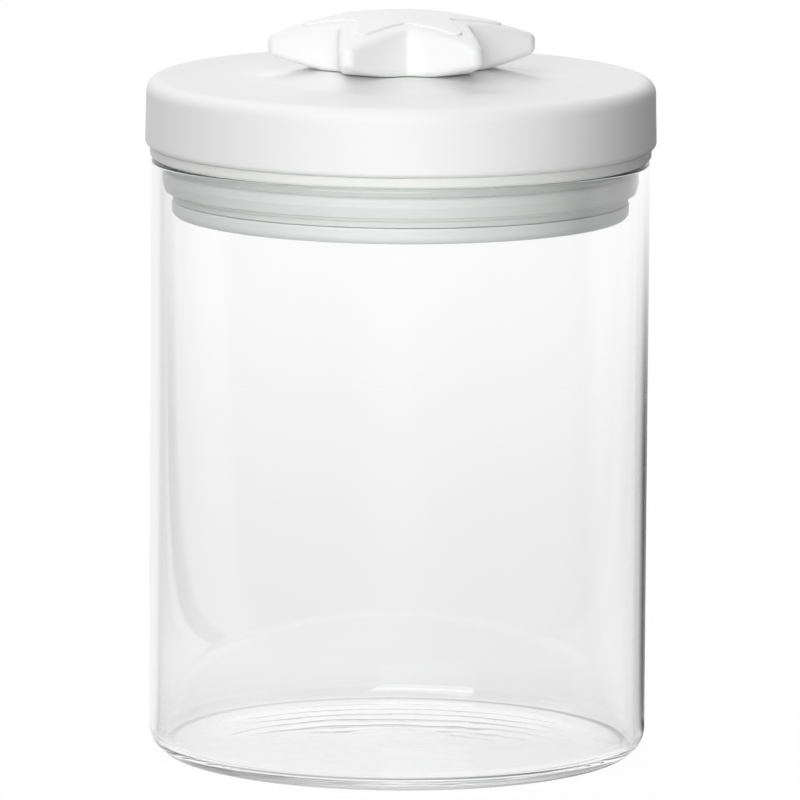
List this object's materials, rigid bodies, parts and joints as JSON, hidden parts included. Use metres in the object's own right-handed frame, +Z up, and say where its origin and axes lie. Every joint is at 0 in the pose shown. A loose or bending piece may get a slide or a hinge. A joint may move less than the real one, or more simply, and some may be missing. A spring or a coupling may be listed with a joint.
{
  "type": "vacuum seal canister",
  "caption": "Round glass food canister with a white twist-lock plug lid: a star knob turns a spindle that squeezes a silicone seal against the glass.",
  "frame": {"origin": "middle of the jar's foot, on the surface it stands on", "axes": "+Z up along the jar's axis; -Y is the side that faces the viewer in the picture"},
  "size_m": [0.1046, 0.1046, 0.153],
  "materials": {
    "glass": "clear, fire-polished",
    "silicone": "translucent satin",
    "white_plastic": "fine matte",
    "gloss_white": "satin gloss",
    "bearing_plastic": "natural, smooth",
    "steel": "bright stainless",
    "brass": "turned",
    "black_rubber": "smooth"
  },
  "bodies": {
    "jar": {"glass_jar": "glass"},
    "lid": {"lid_shell": "white_plastic", "lid_core": "white_plastic", "seal_ring": "silicone", "core_screws": "steel", "hub_bush": "bearing_plastic", "thrust_washer": "bearing_plastic"},
    "knob": {"knob_base": "gloss_white", "knob_cap": "gloss_white", "knob_screw": "steel", "knob_washer": "steel", "spindle": "bearing_plastic", "spindle_oring": "black_rubber", "spindle_clip": "steel"},
    "plate": {"pressure_plate": "white_plastic", "thread_insert": "brass", "insert_screws": "steel", "plate_cap": "white_plastic", "guide_pins": "steel"}
  },
  "joints": [
    {"name": "lid_lift", "type": "slide", "parent": "jar", "child": "lid", "axis": [0, 0, 1], "range_m": [0, 0.07]},
    {"name": "knob_turn", "type": "hinge", "parent": "lid", "child": "knob", "pos_m": [0, 0, 0.1396], "axis": [0, 0, 1], "range_deg": [0, 90]},
    {"name": "plate_travel", "type": "slide", "parent": "lid", "child": "plate", "axis": [0, 0, -1], "range_m": [0, 0.00251], "deforming": ["seal_ring"]}
  ],
  "couplings": [
    {"joint": "plate_travel", "follows": "knob_turn", "m_per_rad": 0.0015915}
  ]
}
